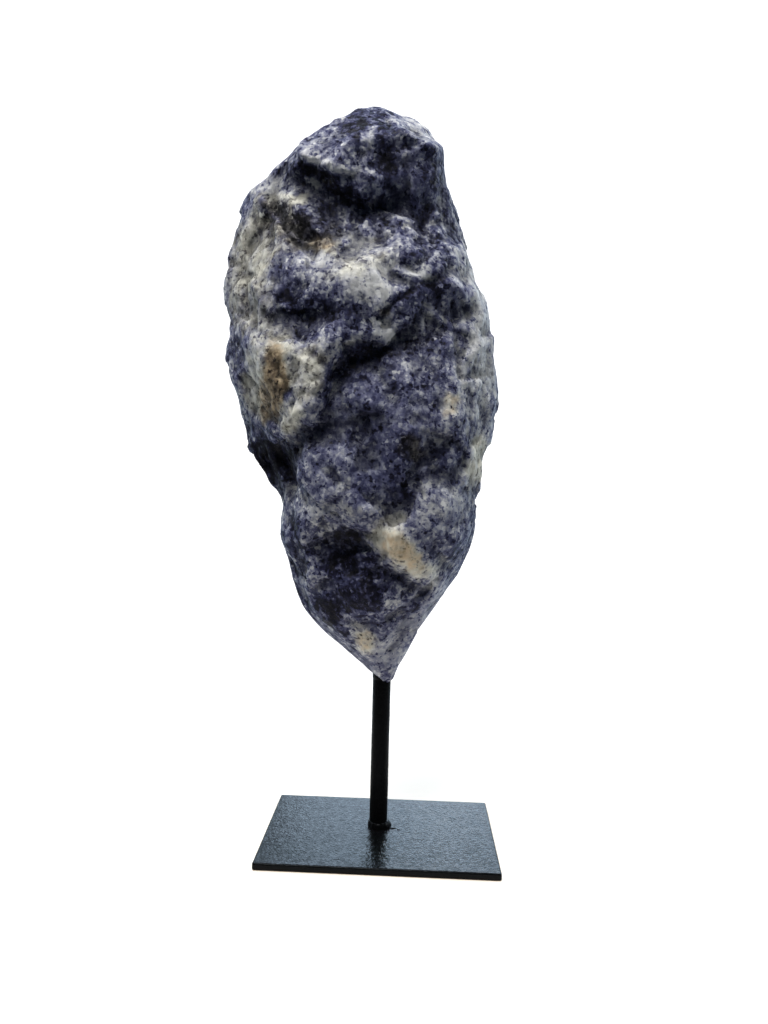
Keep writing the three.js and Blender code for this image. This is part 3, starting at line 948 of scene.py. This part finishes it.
def make_glue():
    """The glue's bead, which leans to the right."""
    low, high = box_of("glue_bead")
    form = turned(ring_profile(low[2], high[2], GLUE_REACH))
    swollen(form, GLUE_SWELL)
    lumpy(form, GLUE_LUMPS, GLUE_WAVER)
    stand_piece(form, "glue_lump", "glue_bead", dark_glue())


def make_stand():
    sheet_paint = black_paint("sheet_paint", **SHEET_PAINT)
    make_plate(sheet_paint)
    make_post(black_paint("bar_paint", **BAR_PAINT))
    make_weld(sheet_paint)
    make_glue()


# Stage

def make_floor():
    """A pale round floor that fades out into the white round it."""
    bpy.ops.mesh.primitive_circle_add(vertices=FLOOR_SIDES, radius=FLOOR_RADIUS, fill_type="NGON")
    floor = bpy.context.object
    floor.name = "floor"
    n = Nodes("floor")
    n.join(n.mix(n.noise(FLOOR_TONE_SIZE), *FLOOR_TONES), n.shader.inputs["Base Color"])
    n.shader.inputs["Roughness"].default_value = FLOOR_ROUGHNESS
    n.shader.inputs["Emission Color"].default_value = (*FLOOR_GLOW, 1.0)
    n.shader.inputs["Emission Strength"].default_value = FLOOR_GLOW_STRENGTH
    away = n.add("ShaderNodeVectorMath", operation="LENGTH")
    n.join(n.place, away.inputs[0])
    fade = n.rise(away.outputs["Value"], FLOOR_FADE, FLOOR_RADIUS, 1.0, 0.0)
    n.join(fade, n.shader.inputs["Alpha"])
    floor.data.materials.append(n.material)


def soft_light(name, place, aim, size, power, colour):
    lamp = bpy.data.lights.new(name, "AREA")
    lamp.size = size
    lamp.energy = power
    lamp.color = colour
    lamp_object = link(bpy.data.objects.new(name, lamp))
    lamp_object.location = place
    lamp_object.rotation_euler = (Vector(place) - Vector(aim)).to_track_quat("Z", "Y").to_euler()
    lamp_object.visible_camera = False


def make_world():
    """White to the camera, and for the object a sky that is brighter towards the back."""
    world = bpy.data.worlds.new("studio")
    bpy.context.scene.world = world
    world.use_nodes = True
    tree = world.node_tree
    place = tree.nodes.new("ShaderNodeTexCoord")
    parts = tree.nodes.new("ShaderNodeSeparateXYZ")
    tree.links.new(place.outputs["Generated"], parts.inputs[0])
    depth = tree.nodes.new("ShaderNodeMapRange")
    depth.interpolation_type = "SMOOTHSTEP"
    tree.links.new(parts.outputs["Y"], depth.inputs["Value"])
    depth.inputs["From Min"].default_value = WORLD_DEPTH[0]
    depth.inputs["From Max"].default_value = WORLD_DEPTH[1]
    depth.inputs["To Min"].default_value = WORLD_STRENGTH[0]
    depth.inputs["To Max"].default_value = WORLD_STRENGTH[1]
    seen = tree.nodes.new("ShaderNodeLightPath")
    strength = tree.nodes.new("ShaderNodeMath")
    strength.operation = "MAXIMUM"
    tree.links.new(depth.outputs["Result"], strength.inputs[0])
    tree.links.new(seen.outputs["Is Camera Ray"], strength.inputs[1])
    tint = tree.nodes.new("ShaderNodeMix")
    tint.data_type = "RGBA"
    tree.links.new(seen.outputs["Is Camera Ray"], tint.inputs["Factor"])
    tint.inputs["A"].default_value = (*WORLD_TINT, 1.0)
    tint.inputs["B"].default_value = (*WORLD_WHITE, 1.0)
    background = tree.nodes["Background"]
    tree.links.new(tint.outputs["Result"], background.inputs["Color"])
    tree.links.new(strength.outputs[0], background.inputs["Strength"])


def make_camera():
    """The camera that was fitted to the photograph."""
    camera = link(bpy.data.objects.new("camera", bpy.data.cameras.new("camera")))
    camera.data.sensor_width = CAMERA_SENSOR
    camera.data.lens = CAMERA_LENS
    level = Matrix.Rotation(math.radians(90), 4, "X")
    yaw = Matrix.Rotation(math.radians(-CAMERA_YAW), 4, "Z")
    pitch = Matrix.Rotation(math.radians(-CAMERA_PITCH), 4, "X")
    roll = Matrix.Rotation(math.radians(CAMERA_ROLL), 4, "Z")
    camera.matrix_world = Matrix.Translation(Vector(CAMERA_PLACE) * MM) @ yaw @ level @ pitch @ roll
    bpy.context.scene.camera = camera
    bpy.context.scene.view_settings.view_transform = "Standard"


make_stone()
make_stand()
make_floor()
for light, settings in LIGHTS.items():
    soft_light(light, *settings)
make_world()
make_camera()
